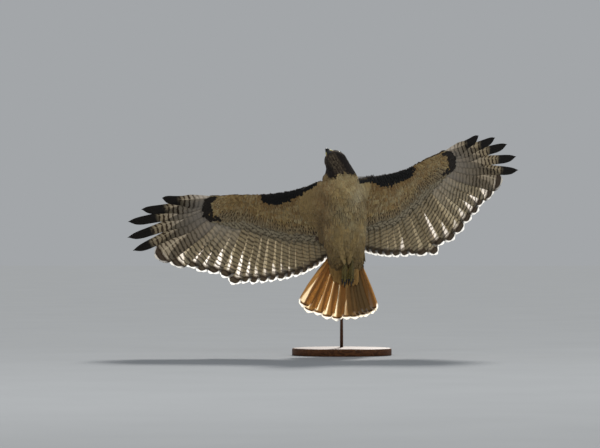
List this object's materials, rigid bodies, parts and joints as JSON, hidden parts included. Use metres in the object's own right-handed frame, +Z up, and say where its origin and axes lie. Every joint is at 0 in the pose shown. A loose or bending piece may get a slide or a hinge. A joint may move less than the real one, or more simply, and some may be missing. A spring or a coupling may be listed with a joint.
{
  "type": "red-tailed hawk display model",
  "caption": "Life-size still model of a red-tailed hawk banking in soaring flight, wings and tail spread, on a round wooden base with a bent steel rod.",
  "frame": {"origin": "centre of the stand base's flat underside", "axes": "+Z up; -Y towards the viewer, out of the bird's belly; +X towards the bird's left wing, close to the wing span"},
  "size_m": [1.1869, 0.4728, 0.6694],
  "materials": {
    "body_feathers": "soft overlapping buff breast and brown back feathers",
    "head_feathers": "soft dark brown feathers",
    "flight_feathers": "barred grey-brown vanes with dark tips and buff coverts",
    "tail_feathers": "rufous vanes with a thin dark band and pale tips",
    "bill": "dark horn with a yellow-green cere",
    "eye": "polished dark brown glass eye",
    "foot_skin": "scaled yellow skin",
    "claw": "black horn",
    "stand_wood": "satin varnished walnut",
    "stand_steel": "brushed"
  },
  "bodies": {
    "root": {"torso": "body_feathers", "neck": "head_feathers", "head": "head_feathers", "bill_upper": "bill", "bill_lower": "bill", "eye_right": "eye", "eye_left": "eye", "rump": "body_feathers", "tail": "tail_feathers", "wing_right_arm": "flight_feathers", "wing_right_hand": "flight_feathers", "wing_left_arm": "flight_feathers", "wing_left_hand": "flight_feathers", "leg_right": "body_feathers", "leg_left": "body_feathers", "foot_right": "foot_skin", "foot_left": "foot_skin", "claw_right_inner": "claw", "claw_right_middle": "claw", "claw_right_outer": "claw", "claw_right_back": "claw", "claw_left_inner": "claw", "claw_left_middle": "claw", "claw_left_outer": "claw", "claw_left_back": "claw", "stand_base": "stand_wood", "stand_rod": "stand_steel"}
  },
  "joints": []
}
